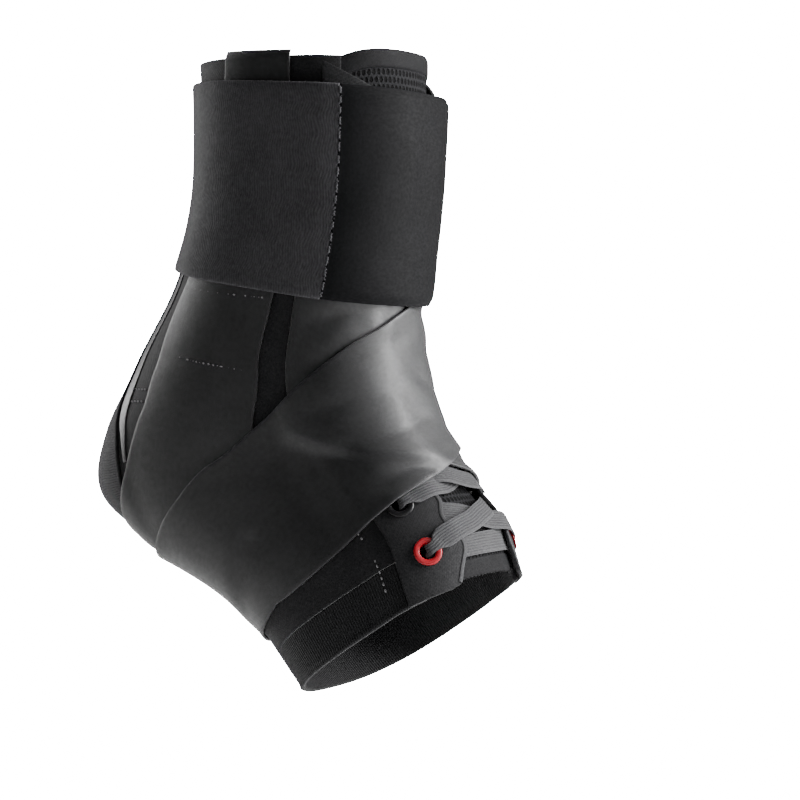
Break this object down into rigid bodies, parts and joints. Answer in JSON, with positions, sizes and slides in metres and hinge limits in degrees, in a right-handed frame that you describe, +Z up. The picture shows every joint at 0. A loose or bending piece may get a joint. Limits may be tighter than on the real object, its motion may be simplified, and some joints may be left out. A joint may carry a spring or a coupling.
{
  "type": "ankle brace",
  "caption": "Lace-up soft ankle brace in its worn form, with crossed stabiliser straps that wrap under the heel and a wide elastic cuff closing over them.",
  "frame": {"origin": "middle of the ankle inside the brace, where the wearer's ankle holds it up", "axes": "+Z up the leg, +X towards the toes, -Y on the outer side of a right foot"},
  "size_m": [0.1761, 0.0932, 0.2356],
  "materials": {
    "boot_fabric": "woven nylon, matt",
    "elastic_knit": "ribbed elastic knit, matt",
    "tongue_mesh": "padded air mesh",
    "facing_fabric": "bonded nylon, satin",
    "eyelet_enamel": "glossy red enamel",
    "eyelet_black": "glossy black enamel",
    "lace_braid": "flat braid, heathered grey",
    "lace_tip_plastic": "smooth",
    "strap_nylon": "laminated nylon, satin",
    "cuff_elastic": "ribbed elastic knit",
    "cuff_patch_loop": "smooth coated patch, satin"
  },
  "bodies": {
    "root": {"tongue": "tongue_mesh", "side_panel_outer": "boot_fabric", "side_panel_inner": "boot_fabric", "heel_panel": "elastic_knit", "toe_band": "elastic_knit", "facing_outer": "facing_fabric", "facing_inner": "facing_fabric", "eyelet_outer_1": "eyelet_enamel", "eyelet_inner_1": "eyelet_enamel", "eyelet_outer_2": "eyelet_black", "eyelet_inner_2": "eyelet_black", "eyelet_outer_3": "eyelet_black", "eyelet_inner_3": "eyelet_black", "eyelet_outer_4": "eyelet_black", "eyelet_inner_4": "eyelet_black", "eyelet_outer_5": "eyelet_black", "eyelet_inner_5": "eyelet_black", "eyelet_outer_6": "eyelet_black", "eyelet_inner_6": "eyelet_black", "eyelet_outer_7": "eyelet_black", "eyelet_inner_7": "eyelet_black", "eyelet_outer_8": "eyelet_black", "eyelet_inner_8": "eyelet_black", "lace": "lace_braid", "lace_tip_outer": "lace_tip_plastic", "lace_tip_inner": "lace_tip_plastic", "strap_under": "strap_nylon", "strap_over": "strap_nylon", "cuff_band": "cuff_elastic", "cuff_patch": "cuff_patch_loop"}
  },
  "joints": []
}
